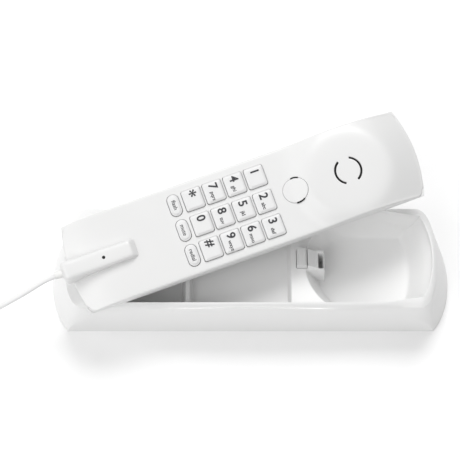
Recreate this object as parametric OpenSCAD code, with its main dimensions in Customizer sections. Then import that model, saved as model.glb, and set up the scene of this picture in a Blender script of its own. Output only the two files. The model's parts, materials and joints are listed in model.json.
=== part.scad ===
// Slim corded telephone: a passive cradle base and a handset that carries the keypad,
// the hook switch, the ringer and the electronics. The handset lies face up across the base.

/* [Base] */
// Overall length of the base, end to end
base_len = 235; // [230:1:240]
// Depth of the base at its foot
base_w = 64; // [62:1:68]
// Height of the base at its rim
base_h = 37; // [35:1:40]
// Wall thickness of the base shell
base_wall = 2.4; // [2:0.1:3]
// Thickness of the plate that closes the underside
plate_t = 2.2; // [2:0.1:3]
// Height of the deck the wells are sunk into
deck_z = 27; // [25:1:29]
// Spacing of the two wall-hanging keyholes
keyhole_gap = 100; // [80:5:120]

/* [Handset] */
// Length of the handset between its corners
hs_len = 201.5; // [198:0.5:206]
// Width of the handset
hs_w = 52.6; // [51:0.2:54]
// Thickness of the handset at its middle
hs_t = 26; // [24:0.5:28]
// Wall thickness of the handset shells
hs_wall = 1.9; // [1.6:0.1:2.2]
// Depth of the joint line below the face
split_z = 7.5; // [7:0.5:8]
// Position of the earpiece centre from the mouth end
ear_x = 163.8; // [162:0.1:165]
// Radius of the earpiece's flat top
ear_r = 24.7; // [23:0.1:25]
// Height of the earpiece above the face
ear_h = 6; // [5:0.5:7]
// Position of the microphone hole from the mouth end
mic_x = 17.3; // [16:0.1:19]

/* [Keypad] */
// Distance between key rows
row_pitch = 12.55; // [12.4:0.05:12.8]
// Distance between key columns
col_pitch = 15.15; // [14.8:0.05:15.4]
// Position of the row nearest the mouth end
key_x0 = 75.9; // [75:0.1:77]
// Key size along the handset
key_l = 11; // [10:0.1:11.4]
// Key size across the handset
key_w = 12; // [11:0.1:12.4]
// Travel of each key
key_travel = 1; // [0.6:0.1:1]

/* [Resting pose] */
// Turn of the handset seen from above
yaw = 19.5; // [15:0.5:24]
// Rise of the ear end
pitch = 4.2; // [3:0.1:6]
// Tilt of the face towards the front
roll = 14; // [12:0.5:16]

/* [Cord] */
// Diameter of the line cord
cord_d = 3.2; // [3:0.1:3.4]
// Mean diameter of the coil of spare cord
coil_d = 35.2; // [33:0.2:38]

/* [Hidden] */
eps = 0.05;

white = "white";
key_grey = "gainsboro";
rubber = "dimgray";
steel = "silver";

// ---- base geometry ----
base_bulge = 11;
base_end_r = (pow(base_w / 2, 2) + pow(base_bulge, 2)) / (2 * base_bulge);
rim_half_w = base_w / 2 - 2;
rim_half_l = base_len / 2 - base_bulge;
open_half_w = rim_half_w - 2;
open_end_x = rim_half_l - 2.2;
dish_x = ear_x - hs_len / 2 + 1.5;
dish_floor = 12;
dish_r = 25.5;
dish_top_r = 33;
recess_floor = 20;
recess_x = [-35, 23];
well_floor = 14;
well_x = [-98, -38];
flank_z = 20;
end_foot_z = 8;
tab_x = 29.6;
tab_y = 2;
tab_l = 5.8;
tab_w = 10.8;
tab_top = 32;
tab_bottom = 15;
screw_spots = [[-96, 0], [96, 0], [-30, 19], [-30, -19]];
foot_spots = [[-84, 19], [-84, -19], [84, 19], [84, -19]];

// ---- handset geometry: x from the mouth corners, y across, z out of the face ----
arch_r = 380;
arch_mid = hs_len / 2;
edge_r = 12;
mouth_bulge = 3.4;
ear_bulge = 4;
mouth_r = (pow(hs_w / 2, 2) + pow(mouth_bulge, 2)) / (2 * mouth_bulge);
ear_end_r = (pow(hs_w / 2, 2) + pow(ear_bulge, 2)) / (2 * ear_bulge);
ear_slope = (34.4 - 24.7) / 6;
ear_slot_r = 7;
ear_arcs = [[-62, 130], [120, 122]];
boss_w = 10.6;
boss_tip = -7.7;
boss_end = 36;
boss_h = 4;
oval_x = 64.8;
oval_l = 6.6;
oval_w = 12.5;
hook_x = 132.1;
hook_r = 7.1;
hook_proud = 0.5;
board_top = -5.3;
board_t = 1.6;
board_x0 = 52;
board_x1 = 145;
board_w = 46;
key_top = 1.6;
key_under = -3.2;
cord_z = -0.5;
grommet_tip = -12.2;
face_at = [-4.4, 18, 61.35];

digit_names = [["key_star", "key_7", "key_4", "key_1"],
               ["key_0", "key_8", "key_5", "key_2"],
               ["key_hash", "key_9", "key_6", "key_3"]];
function key_pos(c, r) = [key_x0 + r * row_pitch, (1 - c) * col_pitch];

// ---- cord route: straight out of the grommet, down to the floor, then to the coil ----
lead_route = [
    [-116.3, -22, 51.9], [-122, -25.4, 50.9], [-128, -28.8, 49.5], [-134, -31.6, 47.5],
    [-140, -33.9, 44.7], [-146, -36, 41], [-152, -38.2, 36], [-157, -40.2, 29.8],
    [-161.5, -42.4, 22.8], [-165.5, -44.5, 15.8], [-169.5, -46.1, 9.6], [-174, -47.3, 4.8],
    [-179, -47.9, 2.2], [-184, -48.1, 1.7]
];
coil_at = [-186, -74];
coil_h = 12.8;
coil_band = 13;
tail_route = [
    [-187, -48.4, 9.4], [-193, -47.2, 7.4], [-199, -44, 4.4], [-204, -39, 2.2],
    [-207, -33.4, 1.7], [-208, -27, 2.2], [-208, -21, 3.3]
];
plug_at = [-208, -21, 3.3];
plug_l = 12;
plug_w = 9.6;
plug_h = 6.6;

// ================= base =================

// Bowed-end strip along X: straight sides, and an arc of radius r at each end.
module bowed_strip(half_l, half_w, r) {
    intersection() {
        square([2 * half_l, 2 * half_w], center = true);
        union() {
            square([2 * (half_l - r), 2 * half_w], center = true);
            for (s = [-1, 1]) translate([s * (half_l - r), 0]) circle(r, $fn = 180);
        }
    }
}

// Plan of the base at its foot, drawn in by g.
module base_plan(g) { bowed_strip(base_len / 2 - g, base_w / 2 - g, base_end_r - g); }

// Outer form: the plan, with the ends and the long sides leaning in towards the rim.
module base_form(g) {
    foot_x = base_len / 2 - g;
    intersection() {
        translate([0, 0, -g]) linear_extrude(base_h) base_plan(g);
        rotate([90, 0, 0]) linear_extrude(base_w, center = true)
            polygon([[-foot_x, -g - 1], [-foot_x, end_foot_z - g], [-rim_half_l + g, base_h - g],
                     [rim_half_l - g, base_h - g], [foot_x, end_foot_z - g], [foot_x, -g - 1]]);
        rotate([90, 0, 90]) linear_extrude(base_len, center = true)
            polygon([[-base_w / 2 + g, -g - 1], [-base_w / 2 + g, flank_z - g], [-rim_half_w + g, base_h - g],
                     [rim_half_w - g, base_h - g], [base_w / 2 - g, flank_z - g], [base_w / 2 - g, -g - 1]]);
    }
}

// Plan of the mouth of the tray inside the rim, grown by g.
module tray_plan(g) { bowed_strip(open_end_x + g, open_half_w + g, base_end_r + g); }

// The hollows of the tray: deck, cord well, keypad recess and earpiece dish, grown by g.
module tray(g) {
    half = open_half_w - 1;
    translate([0, 0, deck_z - g]) linear_extrude(base_h) tray_plan(g);
    for (w = [[well_x, well_floor], [recess_x, recess_floor]])
        translate([w[0][0] - g, -half - g, w[1] - g])
            cube([w[0][1] - w[0][0] + 2 * g, 2 * half + 2 * g, base_h]);
    intersection() {
        translate([dish_x, 0, dish_floor - g])
            cylinder(h = deck_z - dish_floor + 2 * g, r1 = dish_r + g, r2 = dish_top_r + g, $fn = 120);
        translate([0, -half - g, 0]) cube([base_len, 2 * half + 2 * g, base_h]);
    }
}

// Block in the flank of the dish: the hook tab's socket, with a ramp beside it.
module tab_block() {
    block_l = tab_l + 9;
    translate([tab_x - tab_l / 2 - 1.8, tab_y - tab_w / 2 - 1.8, dish_floor - base_wall])
        cube([block_l, tab_w + 3.6, deck_z - dish_floor + base_wall]);
    translate([tab_x + tab_l / 2 + 0.4, tab_y + tab_w / 2, deck_z - 1]) rotate([90, 0, 0])
        linear_extrude(tab_w) polygon([[0, 0], [5.2, 0], [5.2, 1], [0.8, 4.6], [0, 4.6]]);
}

module base_shell() {
    color(white) difference() {
        union() {
            difference() {
                union() {
                    difference() {
                        base_form(0);
                        difference() {
                            base_form(base_wall);
                            tray(base_wall);
                        }
                        translate([0, 0, -1]) linear_extrude(1 + plate_t) base_plan(base_wall);
                    }
                    // posts that take the plate's screws
                    intersection() {
                        for (p = screw_spots)
                            translate([p[0], p[1], plate_t])
                                cylinder(h = deck_z - plate_t - 1, r = 3.4, $fn = 48);
                        base_form(0.5);
                    }
                }
                tray(0);
            }
            tab_block();
        }
        for (p = screw_spots)
            translate([p[0], p[1], -1]) cylinder(h = 12, r = 1.32, $fn = 48);
        translate([tab_x - tab_l / 2 - 0.1, tab_y - tab_w / 2 - 0.1, tab_bottom - 0.1])
            cube([tab_l + 0.2, tab_w + 0.2, base_h]);
        // slot behind the ramp, down into the dish
        translate([tab_x + tab_l / 2 + 6, -6, dish_floor + 3]) cube([1.6, 9, 20]);
    }
}

module base_plate() {
    color(white) difference() {
        linear_extrude(plate_t) base_plan(base_wall + 0.1);
        for (p = screw_spots) translate([p[0], p[1], 0]) {
            translate([0, 0, -1]) cylinder(h = plate_t + 2, r = 1.7, $fn = 48);
            translate([0, 0, -1]) cylinder(h = 2.3, r = 3.2, $fn = 48);
        }
        for (p = foot_spots) translate([p[0], p[1], -1]) cylinder(h = 2, r = 6, $fn = 72);
        for (s = [-1, 1]) translate([s * keyhole_gap / 2, 0, -1]) {
            cylinder(h = plate_t + 2, r = 4.3, $fn = 60);
            translate([0, -2.2, 0]) cube([9, 4.4, plate_t + 2]);
            translate([9, 0, 0]) cylinder(h = plate_t + 2, r = 2.2, $fn = 48);
        }
    }
}

module base_screws() {
    color(steel) for (p = screw_spots) translate([p[0], p[1], 0]) difference() {
        union() {
            translate([0, 0, 0.2]) cylinder(h = 1.1, r = 2.8, $fn = 48);
            translate([0, 0, 0.2]) cylinder(h = 9.6, r = 1.3, $fn = 48);
        }
        for (a = [0, 90]) rotate([0, 0, a]) translate([-1.6, -0.3, 0]) cube([3.2, 0.6, 0.8]);
    }
}

module rubber_feet() {
    color(rubber) for (p = foot_spots) translate([p[0], p[1], 0]) cylinder(h = 1, r = 5.9, $fn = 72);
}

// Reversible tab: presses the hook switch when the handset is stowed, and hooks it on a wall.
module hook_tab() {
    color(white) translate([tab_x, tab_y, 0]) difference() {
        union() {
            translate([-tab_l / 2, -tab_w / 2, tab_bottom]) cube([tab_l, tab_w, tab_top - tab_bottom - 3]);
            rotate([90, 0, 0]) linear_extrude(tab_w, center = true)
                polygon([[-tab_l / 2, tab_top - 3.5], [tab_l / 2, tab_top - 3.5],
                         [tab_l / 2, tab_top - 1], [tab_l / 2 - 1, tab_top],
                         [-tab_l / 2 + 1, tab_top], [-tab_l / 2, tab_top - 1]]);
        }
        // core hole that keeps the moulding's wall even
        translate([-1.5, -3.6, tab_bottom - 1]) cube([3, 7.2, 12]);
    }
}

// ================= handset =================

module handset_pose() {
    translate(face_at) rotate([0, 0, yaw]) rotate([0, -pitch, 0]) rotate([roll, 0, 0])
        translate([-arch_mid, 0, 0]) children();
}

// Plan of the handset's bowed ends, drawn in by g, with its sides at a half width of half.
module hs_plan(g, half) {
    n = 8;
    polygon(concat(
        [for (i = [-n:n]) let (y = half * i / n)
            [mouth_r - mouth_bulge - sqrt(pow(mouth_r - g, 2) - y * y), -y]],
        [for (i = [-n:n]) let (y = half * i / n)
            [hs_len + ear_bulge - ear_end_r + sqrt(pow(ear_end_r - g, 2) - y * y), y]]));
}

// Cross-section carried round the arch of the back, in (radius, across) axes.
module hs_section(g) {
    r = edge_r - g;
    half = hs_w / 2 - g;
    translate([arch_r - 60, -half]) square([60 - edge_r, 2 * half]);
    translate([arch_r - 60, -half + r]) square([60 - g, 2 * (half - r)]);
    for (s = [-1, 1]) translate([arch_r - edge_r, s * (half - r)]) circle(r, $fn = 96);
}

// The arched back: the section swept round an axis across the handset.
module hs_arch(g) {
    translate([arch_mid, 0, arch_r - hs_t]) rotate([90, 0, 0]) rotate([0, 0, -110])
        rotate_extrude(angle = 40, $fn = 720) hs_section(g);
}

// Outer form of the handset without its earpiece and boss, drawn in by g.
module hs_form(g) {
    intersection() {
        hs_arch(g);
        translate([0, 0, -hs_t - 5]) linear_extrude(hs_t + 20) hs_plan(g, hs_w / 2 + 2);
        rotate([90, 0, 0]) linear_extrude(hs_w + 10, center = true)
            polygon([[-10, -hs_t - 2], [-10, -10.3 - g], [-mouth_bulge, -6 - g], [8, -g],
                     [186, -g], [hs_len + ear_bulge, -7.3 - g], [hs_len + 12, -10.5 - g],
                     [hs_len + 12, -hs_t - 2]]);
    }
}

// The earpiece: a flat-topped cone, cut by the handset's plan, drawn in by g.
module ear_form(g) {
    foot = split_z - 0.5;
    intersection() {
        translate([ear_x, 0, -foot])
            cylinder(h = foot + ear_h - g, r1 = ear_r + (ear_h + foot) * ear_slope - 1.2 * g,
                     r2 = ear_r - 0.45 * g, $fn = 180);
        translate([0, 0, -hs_t]) linear_extrude(hs_t + 20) hs_plan(g, hs_w / 2 - g - eps);
    }
}

// The boss over the microphone, which ends in the cord's outlet.
module boss_form(g) {
    rotate([90, 0, 0]) linear_extrude(boss_w - 2 * g, center = true)
        polygon([[boss_tip + g, -5 + g], [boss_tip + g, boss_h - 1 - g], [boss_tip + 1 + g, boss_h - g],
                 [boss_end - 3 - g, boss_h - g], [boss_end - g, -1], [boss_end - g, -3],
                 [4, -3], [4, -5 + g]]);
}

module key_cut(p) { translate([p[0] - key_l / 2 - 0.3, p[1] - key_w / 2 - 0.3, -5]) cube([key_l + 0.6, key_w + 0.6, 8]); }

module oval_prism(l, w, h) {
    hull_r = l / 2;
    translate([-l / 2, -(w / 2 - hull_r), 0]) cube([l, w - l, h]);
    for (s = [-1, 1]) translate([0, s * (w / 2 - hull_r), 0]) cylinder(h = h, r = hull_r, $fn = 60);
}

// Posts inside the front shell: four for the board, two for the back shell.
board_posts = [[56, 20.3], [56, -20.3], [141, 20.3], [141, -20.3]];
shell_posts = [[43, 12], [43, -12], [194, 0]];

module front_shell() {
    color(white) handset_pose() difference() {
        union() {
            intersection() {
                union() {
                    hs_form(0);
                    ear_form(0);
                }
                translate([-20, -40, -split_z]) cube([hs_len + 40, 80, 30]);
            }
            boss_form(0);
        }
        difference() {
            union() {
                hs_form(hs_wall);
                ear_form(hs_wall);
                translate([0, 0, -split_z - 1]) linear_extrude(2) hs_plan(hs_wall, hs_w / 2 - hs_wall - eps);
            }
            for (p = board_posts) translate([p[0], p[1], board_top]) cylinder(h = 8, r = 2.6, $fn = 48);
            for (p = shell_posts) translate([p[0], p[1], -split_z]) cylinder(h = 14, r = 3.2, $fn = 48);
        }
        // hollow of the boss, microphone hole and cord outlet
        translate([0, -boss_w / 2 + 1.6, -3.5]) cube([boss_end - 5, boss_w - 3.2, boss_h + 3.5 - 1.6]);
        translate([mic_x, 0, 0]) cylinder(h = 10, r = 0.9, $fn = 32);
        translate([boss_tip - 1, 0, cord_z]) rotate([0, 90, 0]) cylinder(h = 12, r = 2.6, $fn = 48);
        translate([-2, -3.7, cord_z - 3.4]) cube([6, 7.4, 6.2]);
        // key openings
        for (c = [0:2], r = [0:3]) key_cut(key_pos(c, r));
        for (c = [0:2]) translate([oval_x, (1 - c) * col_pitch, -5]) oval_prism(oval_l + 0.6, oval_w + 0.6, 8);
        // hook button opening
        translate([hook_x, 0, -5]) cylinder(h = 12, r = hook_r + 0.25, $fn = 96);
        // earpiece slots: two arcs
        for (a = ear_arcs) translate([ear_x, 0, 2]) rotate([0, 0, a[0]])
            rotate_extrude(angle = a[1], $fn = 180) translate([ear_slot_r, 0]) square([0.9, 8]);
        // pilot holes
        for (p = board_posts) translate([p[0], p[1], board_top - 1]) cylinder(h = 4.6, r = 0.92, $fn = 32);
        for (p = shell_posts) translate([p[0], p[1], -split_z - 1]) cylinder(h = 6.4, r = 1.12, $fn = 32);
    }
}

module back_shell() {
    color(white) handset_pose() difference() {
        union() {
            difference() {
                intersection() {
                    hs_form(0);
                    translate([-20, -40, -60]) cube([hs_len + 40, 80, 60 - split_z - eps]);
                }
                difference() {
                    hs_form(hs_wall);
                    translate([-20, -40, -60]) cube([hs_len + 40, 80, 60 - hs_t - 10]);
                }
            }
            // tubes that meet the front shell's posts
            intersection() {
                for (p = shell_posts) translate([p[0], p[1], -40]) cylinder(h = 40 - split_z - eps, r = 3.2, $fn = 48);
                hs_form(0.4);
            }
        }
        translate([boss_tip - 2, -boss_w / 2 - 0.1, -split_z - 0.1]) cube([2, boss_w + 0.2, 5]);
        for (p = shell_posts) {
            translate([p[0], p[1], -40]) cylinder(h = 40, r = 1.4, $fn = 32);
            translate([p[0], p[1], -40]) cylinder(h = 40 - split_z - 2.6, r = 2.6, $fn = 48);
        }
    }
}

module pan_screw(head_r, shank_r, shank_l) {
    difference() {
        union() {
            translate([0, 0, -1.4]) cylinder(h = 1.4, r = head_r, $fn = 48);
            translate([0, 0, -0.5]) cylinder(h = shank_l + 0.5, r = shank_r, $fn = 32);
        }
        for (a = [0, 90]) rotate([0, 0, a]) translate([-0.6 * head_r, -0.25, -1.6]) cube([1.2 * head_r, 0.5, 0.9]);
    }
}

module shell_screws() {
    color(steel) handset_pose() for (p = shell_posts)
        translate([p[0], p[1], -split_z - 2.65]) pan_screw(2.3, 1.1, 7.4);
}

module board_screws() {
    color(steel) handset_pose() for (p = board_posts)
        translate([p[0], p[1], board_top - board_t]) pan_screw(1.9, 0.9, 4.6);
}

module circuit_board() {
    color("darkgreen") handset_pose() difference() {
        translate([board_x0, -board_w / 2, board_top - board_t]) cube([board_x1 - board_x0, board_w, board_t]);
        for (p = board_posts) translate([p[0], p[1], board_top - 3]) cylinder(h = 5, r = 1.1, $fn = 32);
    }
}

module board_chips() {
    under = board_top - board_t;
    color("dimgray") handset_pose() {
        translate([70, -5, under - 3.4]) cube([18, 8, 3.4]);
        translate([98, -10, under - 2.2]) cube([10, 6, 2.2]);
        translate([98, 4, under - 2.2]) cube([10, 6, 2.2]);
        translate([118, -4, under - 4.6]) cube([9, 8, 4.6]);
    }
}

module board_capacitors() {
    under = board_top - board_t;
    color("midnightblue") handset_pose() {
        for (p = [[76, 12], [86, 12], [112, -14]]) translate([p[0], p[1], under - 8]) cylinder(h = 8, r = 3, $fn = 48);
        for (p = [[78, -14], [90, -14], [124, 13]]) translate([p[0], p[1], under - 5.5]) cylinder(h = 5.5, r = 2, $fn = 48);
    }
}

// One silicone sheet with a low dome under each key, drawn as the domes stand when pressed.
module keypad_mat() {
    dome_h = key_under - key_travel - 0.1 - board_top;
    color("lightgray") handset_pose() {
        translate([60, -21.5, board_top]) cube([60, 43, 0.7]);
        for (c = [0:2], r = [0:3]) translate([key_pos(c, r)[0], key_pos(c, r)[1], board_top])
            cylinder(h = dome_h, r = 3.5, $fn = 48);
        for (c = [0:2]) translate([oval_x, (1 - c) * col_pitch, board_top])
            cylinder(h = dome_h, r = 2.4, $fn = 48);
    }
}

module receiver_capsule() {
    color("dimgray") handset_pose() translate([ear_x, 0, 0]) {
        translate([0, 0, -3]) cylinder(h = 6, r = 14.6, $fn = 120);
        translate([0, 0, -6.5]) cylinder(h = 3.6, r = 7.5, $fn = 96);
    }
}

module receiver_gasket() {
    color("black") handset_pose() translate([ear_x, 0, 3]) difference() {
        cylinder(h = ear_h - hs_wall - 3, r = 14.6, $fn = 120);
        translate([0, 0, -1]) cylinder(h = 4, r = 11, $fn = 96);
    }
}

module mic_capsule() {
    color(steel) handset_pose() translate([mic_x, 0, -2.2]) cylinder(h = 3.4, r = 2.6, $fn = 60);
}

module mic_boot() {
    color("black") handset_pose() translate([mic_x, 0, -3.2]) difference() {
        cylinder(h = 3.2 + boss_h - 1.6, r = 3.4, $fn = 60);
        translate([0, 0, 1]) cylinder(h = 3.4, r = 2.6, $fn = 60);
        translate([0, 0, -1]) cylinder(h = 12, r = 1.2, $fn = 32);
    }
}

module ringer() {
    color("goldenrod") handset_pose() translate([24, 0, -13.5]) {
        cylinder(h = 1.2, r = 11, $fn = 96);
        translate([0, 0, 1.2]) cylinder(h = 0.4, r = 7.5, $fn = 96);
    }
}

module hook_switch() {
    color("dimgray") handset_pose() difference() {
        translate([hook_x - 5, -15, board_top]) cube([10, 6, 2.8]);
        for (s = [-1, 1]) translate([hook_x + 3 * s, -16, board_top + 1.4])
            rotate([-90, 0, 0]) cylinder(h = 8, r = 0.5, $fn = 24);
    }
}

// Leaf of the switch, reaching to the edge of the hook button's flange.
module switch_lever() {
    color(steel) handset_pose() translate([hook_x - 2, -14.4, board_top + 2.8]) cube([4, 6, 0.3]);
}

// Round push button in the foot of the earpiece; its flange is held under the shell.
module hook_button() {
    color(white) handset_pose() translate([hook_x, 0, 0]) difference() {
        union() {
            intersection() {
                translate([0, 0, -2.6]) cylinder(h = ear_h + 3.2, r = hook_r, $fn = 96);
                // the top follows the foot of the earpiece, and stands proud of it
                translate([ear_x - hook_x, 0, -split_z]) cylinder(h = split_z + ear_h + hook_proud,
                    r1 = ear_r + (ear_h + split_z) * ear_slope + hook_proud, r2 = ear_r + hook_proud, $fn = 180);
            }
            translate([0, 0, -2.6]) cylinder(h = 2.6 + hook_proud, r = hook_r, $fn = 96);
            translate([0, 0, -2.9]) cylinder(h = 0.8, r = 7.9, $fn = 96);
        }
        translate([0, 0, -3.5]) cylinder(h = 2.6, r = 4.6, $fn = 72);
    }
}

module hook_spring() {
    turn_r = 3.4;
    color(steel) handset_pose() translate([hook_x, 0, 0])
        for (i = [0:4]) translate([0, 0, board_top + 0.35 + i * 0.93])
            rotate_extrude($fn = 72) translate([turn_r, 0]) circle(0.3, $fn = 24);
}

// Red and green leads from the cord to the board, and a pair to each capsule.
module inner_leads() {
    color("firebrick") handset_pose() {
        for (y = [-1, 1]) {
            translate([2, y, -6.2]) rotate([0, 90, 0]) cylinder(h = 52, r = 0.5, $fn = 20);
            translate([144, y, -7.6]) rotate([0, 90, 0]) cylinder(h = 12, r = 0.5, $fn = 20);
        }
    }
}

// Rubber sleeve round the cord: a collar inside the boss and a short taper outside.
module cord_grommet() {
    color("whitesmoke") handset_pose() translate([0, 0, cord_z]) rotate([0, 90, 0]) difference() {
        union() {
            translate([0, 0, grommet_tip]) cylinder(h = 4.6, r1 = 1.95, r2 = 2.4, $fn = 60);
            translate([0, 0, grommet_tip + 4.5]) cylinder(h = 6.4, r = 2.55, $fn = 60);
            translate([0, 0, -1.9]) cylinder(h = 1.6, r = 3.1, $fn = 60);
        }
        translate([0, 0, -1.5]) cylinder(h = 3, r = 1.2, $fn = 40);
    }
}

// A key: cap with a bevelled edge, body, and a flange that the shell holds down.
module key_cap(p) {
    color(key_grey) handset_pose() translate([p[0], p[1], 0]) {
        intersection() {
            rotate([90, 0, 0]) linear_extrude(key_w, center = true)
                polygon([[-key_l / 2, -3], [-key_l / 2, key_top - 0.6], [-key_l / 2 + 0.9, key_top],
                         [key_l / 2 - 0.9, key_top], [key_l / 2, key_top - 0.6], [key_l / 2, -3]]);
            rotate([90, 0, 90]) linear_extrude(key_l, center = true)
                polygon([[-key_w / 2, -3], [-key_w / 2, key_top - 0.6], [-key_w / 2 + 0.9, key_top],
                         [key_w / 2 - 0.9, key_top], [key_w / 2, key_top - 0.6], [key_w / 2, -3]]);
        }
        translate([-key_l / 2 - 0.6, -key_w / 2 - 0.9, key_under]) cube([key_l + 1.2, key_w + 1.8, 1.1]);
    }
}

module oval_key(c) {
    color(key_grey) handset_pose() translate([oval_x, (1 - c) * col_pitch, 0]) {
        translate([0, 0, -3]) oval_prism(oval_l, oval_w, 3 + 0.9);
        translate([0, 0, 0.8]) oval_prism(oval_l - 1.6, oval_w - 1.6, 0.6);
        translate([0, 0, key_under]) oval_prism(oval_l + 1.2, oval_w + 1.6, 1.1);
    }
}

// ================= cord =================

function unit(v) = v / norm(v);
exit_dir = [-cos(pitch) * cos(yaw), -cos(pitch) * sin(yaw), -sin(pitch)];

// A closed tube of n sides along the points pts, its first ring square to the direction first.
module cord_tube(pts, first, n = 8) {
    last = len(pts) - 1;
    dirs = [for (i = [0:last]) i == 0 ? first : i == last ? unit(pts[last] - pts[last - 1])
            : unit(unit(pts[i] - pts[i - 1]) + unit(pts[i + 1] - pts[i]))];
    sides = [for (d = dirs) unit(cross(d, [0, 0, 1]))];
    ups = [for (i = [0:last]) cross(sides[i], dirs[i])];
    rings = [for (i = [0:last], k = [0:n - 1])
        let (a = 360 * k / n) pts[i] + cord_d / 2 * (cos(a) * sides[i] + sin(a) * ups[i])];
    walls = [for (i = [0:last - 1], k = [0:n - 1])
        let (a = i * n + k, b = i * n + (k + 1) % n) [a, b, b + n, a + n]];
    caps = [[for (k = [n - 1:-1:0]) k], [for (k = [0:n - 1]) last * n + k]];
    polyhedron(rings, concat(walls, caps));
}

function pose_point(v) =
    let (a = [v[0] - arch_mid, v[1] * cos(roll) - v[2] * sin(roll), v[1] * sin(roll) + v[2] * cos(roll)],
         b = [a[0] * cos(pitch) - a[2] * sin(pitch), a[1], a[0] * sin(pitch) + a[2] * cos(pitch)])
    face_at + [b[0] * cos(yaw) - b[1] * sin(yaw), b[0] * sin(yaw) + b[1] * cos(yaw), b[2]];

module cord_lead() {
    start = pose_point([grommet_tip - 0.1, 0, cord_z]);
    color("gainsboro") cord_tube(concat([start], lead_route), exit_dir);
}

module cord_coil() {
    color("gainsboro") translate([coil_at[0], coil_at[1], 0.1]) rotate_extrude($fn = 120)
        translate([coil_d / 2 - coil_band / 2, 0]) union() {
            translate([1.6, 0]) square([coil_band - 3.2, coil_h]);
            translate([0, 1.6]) square([coil_band, coil_h - 3.2]);
            for (x = [1.6, coil_band - 1.6], y = [1.6, coil_h - 1.6]) translate([x, y]) circle(1.6, $fn = 32);
        }
}

// Twist tie round the coil's band.
module cord_tie() {
    gap = 0.3;
    color("dimgray") translate([coil_at[0], coil_at[1] - coil_d / 2, 0.1 + coil_h / 2])
        difference() {
            cube([4, coil_band + 2 * gap + 1.6, coil_h + 2 * gap + 1.6 - 1.5], center = true);
            cube([6, coil_band + 2 * gap, coil_h + 2 * gap], center = true);
        }
}

module cord_tail() {
    color("gainsboro") cord_tube(tail_route, unit(tail_route[1] - tail_route[0]));
}

// Modular line plug.
module line_plug() {
    color("lightblue", 0.6) translate(plug_at) difference() {
        translate([-plug_w / 2, 0.05, -plug_h / 2]) cube([plug_w, plug_l, plug_h]);
        for (i = [-1.5:1:1.5]) translate([i * 1.27 - 0.2, plug_l - 5, -plug_h / 2 - 1]) cube([0.4, 6, 4]);
    }
}

// Release latch of the plug, on a round bead that it turns about.
module plug_latch() {
    color("lightblue", 0.6) translate(plug_at) rotate([90, 0, 90]) linear_extrude(3.2, center = true)
        union() {
            translate([plug_l - 2, plug_h / 2 + 0.65]) circle(0.6, $fn = 48);
            polygon([[plug_l - 2, plug_h / 2 + 1.25], [3, plug_h / 2 + 3.2], [-2, plug_h / 2 + 3.6],
                     [-2, plug_h / 2 + 2.8], [3, plug_h / 2 + 2.3], [plug_l - 2, plug_h / 2 + 0.4]]);
        }
}

module plug_contacts() {
    color("gold") translate(plug_at) for (i = [-1.5:1:1.5])
        translate([i * 1.27 - 0.15, plug_l - 4.8, -plug_h / 2 + 0.4]) cube([0.3, 4.6, 2.4]);
}

base_shell();
base_plate();
base_screws();
rubber_feet();
hook_tab();
front_shell();
back_shell();
shell_screws();
circuit_board();
board_screws();
board_chips();
board_capacitors();
keypad_mat();
receiver_capsule();
receiver_gasket();
mic_capsule();
mic_boot();
ringer();
hook_switch();
switch_lever();
hook_button();
hook_spring();
inner_leads();
cord_grommet();
for (c = [0:2], r = [0:3])
    key_cap(key_pos(c, r));
oval_key(0);  // key_flash
oval_key(1);  // key_mute
oval_key(2);  // key_redial
cord_lead();
cord_coil();
cord_tie();
cord_tail();
line_plug();
plug_latch();
plug_contacts();
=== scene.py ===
import json
import math

import bpy
import numpy as np
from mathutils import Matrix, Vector
from mathutils.geometry import delaunay_2d_cdt


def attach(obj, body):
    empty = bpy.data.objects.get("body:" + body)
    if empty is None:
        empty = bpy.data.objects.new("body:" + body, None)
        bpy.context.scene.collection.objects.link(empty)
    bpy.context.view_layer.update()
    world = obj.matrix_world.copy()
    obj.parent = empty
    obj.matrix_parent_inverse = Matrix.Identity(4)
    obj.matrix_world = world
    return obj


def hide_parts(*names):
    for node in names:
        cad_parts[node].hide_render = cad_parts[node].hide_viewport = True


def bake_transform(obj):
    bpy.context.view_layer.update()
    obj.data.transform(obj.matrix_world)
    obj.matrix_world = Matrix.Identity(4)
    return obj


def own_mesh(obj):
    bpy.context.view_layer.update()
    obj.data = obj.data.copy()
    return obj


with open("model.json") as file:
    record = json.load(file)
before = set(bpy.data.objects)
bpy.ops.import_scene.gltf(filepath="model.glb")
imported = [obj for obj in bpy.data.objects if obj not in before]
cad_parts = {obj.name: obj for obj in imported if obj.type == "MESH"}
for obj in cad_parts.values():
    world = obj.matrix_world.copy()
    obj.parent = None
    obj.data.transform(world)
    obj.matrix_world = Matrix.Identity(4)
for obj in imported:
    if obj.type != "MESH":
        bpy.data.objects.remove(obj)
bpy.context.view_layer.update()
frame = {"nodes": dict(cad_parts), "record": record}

scene = bpy.context.scene
MM = 0.001

# ================= Camera =================
# A long lens above the front of the telephone, looking down at 65 degrees, as in a catalogue shot.
# It aims just below the middle of the handset.
elevation = math.radians(65)
camera_distance = 950 * MM
aim = Vector((-12 * MM, 19.7 * MM, 30 * MM))
camera = bpy.data.objects.new("camera", bpy.data.cameras.new("camera"))
camera.data.lens = 127.2
camera.data.sensor_width = 36
look = Vector((0, math.cos(elevation), -math.sin(elevation)))
camera.location = aim - camera_distance * look
camera.rotation_euler = look.to_track_quat("-Z", "Y").to_euler()
camera.data.clip_start = 0.05
scene.collection.objects.link(camera)
scene.camera = camera

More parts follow.
